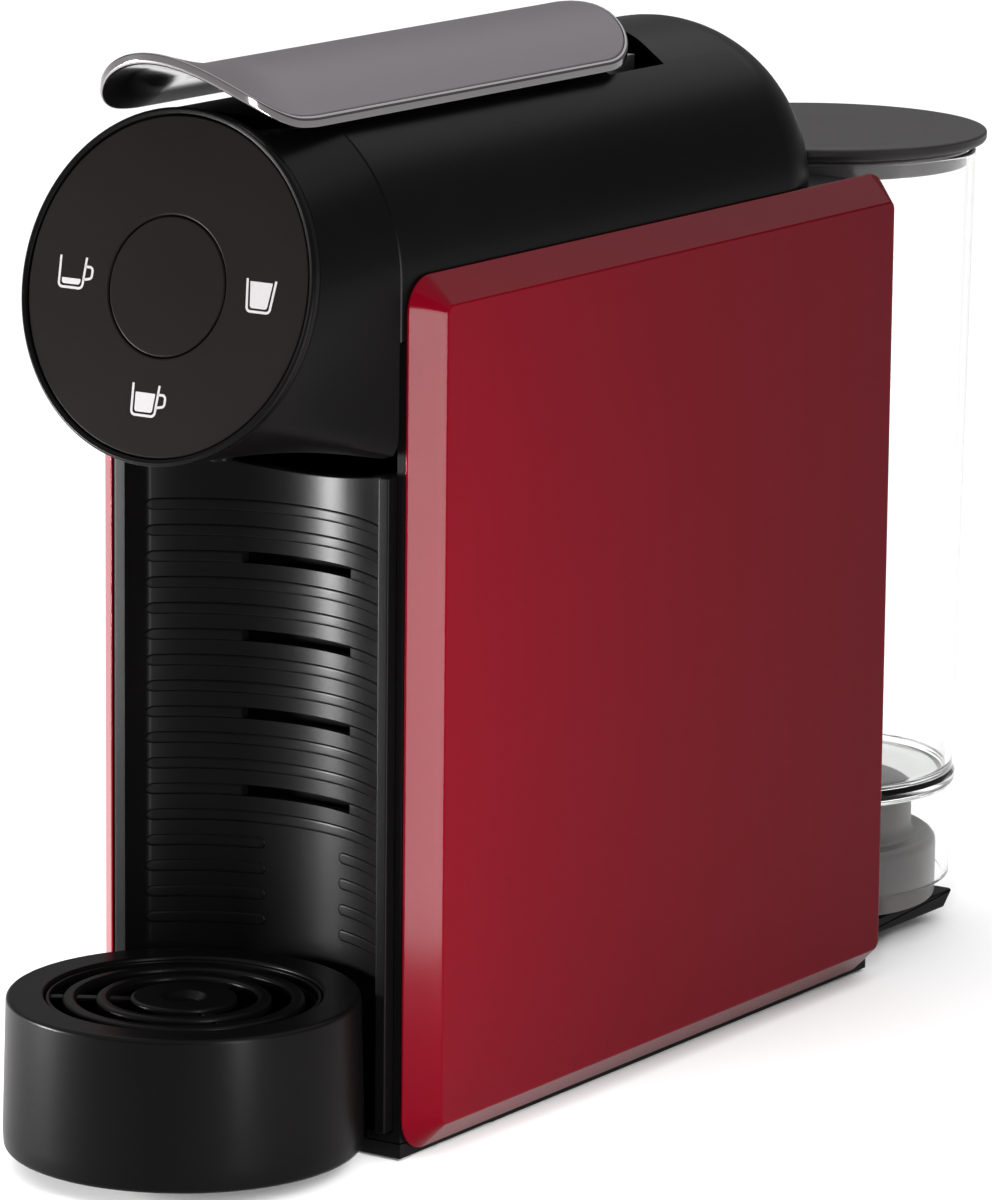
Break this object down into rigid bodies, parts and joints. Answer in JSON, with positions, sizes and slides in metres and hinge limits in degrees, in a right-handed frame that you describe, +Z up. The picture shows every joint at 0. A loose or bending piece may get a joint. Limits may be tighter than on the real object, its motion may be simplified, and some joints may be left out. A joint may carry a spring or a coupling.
{
  "type": "espresso machine",
  "caption": "Slim capsule espresso machine with gloss side panels, a lift-up top lever, round tilted control face, pull-out capsule drawer with drip tray, and a clear lift-off water tank.",
  "frame": {"origin": "centre of the bounding box on the table plane, under the foot strips", "axes": "+Z up, -Y out of the control face towards the user, +X towards the user's right"},
  "size_m": [0.104, 0.3848, 0.2771],
  "materials": {
    "panel_red": "glossy moulded panel",
    "shell_black": "satin black moulding",
    "face_black": "near-black satin face",
    "icon_white": "printed light guides",
    "lever_chrome": "polished chrome",
    "lever_grey": "satin metallic grey",
    "lid_dark": "satin dark grey",
    "collar_smoke": "smoked grey",
    "tank_clear": "clear moulded copolyester",
    "dock_grey": "satin mid grey",
    "board_green": "circuit board",
    "steel": "plain steel",
    "cast_alloy": "cast, unpainted",
    "rubber": "soft black rubber",
    "hose": "translucent silicone",
    "nylon": "glass-filled nylon"
  },
  "bodies": {
    "chassis": {"left_side_panel": "panel_red", "right_side_panel": "panel_red", "base_pan": "shell_black", "main_frame": "shell_black", "top_housing": "shell_black", "rear_deck": "shell_black", "head_shroud": "shell_black", "face_bezel": "shell_black", "face_plate": "face_black", "icon_lens_left": "icon_white", "icon_lens_right": "icon_white", "icon_lens_lower": "icon_white", "control_board": "board_green", "button_spring": "steel", "lever_shaft": "steel", "rocker_shaft": "steel", "brew_cheek_left": "nylon", "brew_cheek_right": "nylon", "frame_bridge": "nylon", "feed_gland": "nylon", "outlet_plate": "steel", "outlet_block": "nylon", "spout_nozzle": "dock_grey", "pump": "steel", "pump_mount_front": "rubber", "pump_mount_rear": "rubber", "thermoblock": "cast_alloy", "flow_meter": "nylon", "pump_inlet_hose": "hose", "pump_outlet_hose": "hose", "brew_feed_hose": "hose", "inlet_hose": "hose", "power_board": "board_green", "cord_gland": "rubber", "tank_dock": "dock_grey", "dock_seal": "rubber", "dock_base": "shell_black", "foot_strip_left": "rubber", "foot_strip_right": "rubber", "base_screw_front": "steel", "base_screw_rear": "steel"},
    "lever": {"lever_body": "lever_chrome", "lever_inlay": "lever_grey", "lever_bracket": "steel"},
    "rocker": {"rocker_arm": "steel"},
    "piston": {"capsule_cage": "nylon", "cage_seal": "rubber", "piston_tail": "steel"},
    "button": {"power_button": "face_black"},
    "drawer": {"drawer_front": "shell_black", "capsule_bin": "shell_black"},
    "tray": {"drip_tray": "shell_black"},
    "grille": {"drip_grille": "shell_black"},
    "tank": {"tank": "tank_clear", "valve_guard": "nylon", "valve_spring": "steel"},
    "lid": {"tank_lid": "lid_dark", "lid_collar": "collar_smoke"},
    "valve": {"tank_valve": "rubber"}
  },
  "joints": [
    {"name": "lever_hinge", "type": "hinge", "parent": "chassis", "child": "lever", "pos_m": [0, 0.01435, 0.25], "axis": [-1, 0, 0], "range_deg": [0, 76]},
    {"name": "rocker_hinge", "type": "hinge", "parent": "chassis", "child": "rocker", "pos_m": [0, 0.01435, 0.23], "axis": [1, 0, 0], "range_deg": [0, 45.3]},
    {"name": "piston_slide", "type": "slide", "parent": "chassis", "child": "piston", "axis": [0, 1, 0], "range_m": [0, 0.0262]},
    {"name": "button_press", "type": "slide", "parent": "chassis", "child": "button", "axis": [0, 0.9744, -0.225], "range_m": [0, 0.0012], "stiffness_N_per_m": 900, "springref_m": -0.001},
    {"name": "drawer_slide", "type": "slide", "parent": "chassis", "child": "drawer", "axis": [0, -1, 0], "range_m": [0, 0.12]},
    {"name": "tray_pull", "type": "slide", "parent": "drawer", "child": "tray", "axis": [0, -1, 0], "range_m": [0, 0.06]},
    {"name": "grille_lift", "type": "slide", "parent": "tray", "child": "grille", "axis": [0, 0, 1], "range_m": [0, 0.04]},
    {"name": "tank_lift", "type": "slide", "parent": "chassis", "child": "tank", "axis": [0, 0, 1], "range_m": [0, 0.12]},
    {"name": "lid_lift", "type": "slide", "parent": "tank", "child": "lid", "axis": [0, 0, 1], "range_m": [0, 0.04]},
    {"name": "valve_lift", "type": "slide", "parent": "tank", "child": "valve", "axis": [0, 0, 1], "range_m": [0, 0.003], "stiffness_N_per_m": 250, "springref_m": -0.004, "deforming": ["valve_spring"]}
  ],
  "couplings": [
    {"joint": "rocker_hinge", "follows": "lever_hinge", "ratio": 0.596},
    {"joint": "piston_slide", "follows": "lever_hinge", "m_per_rad": 0.01975}
  ]
}
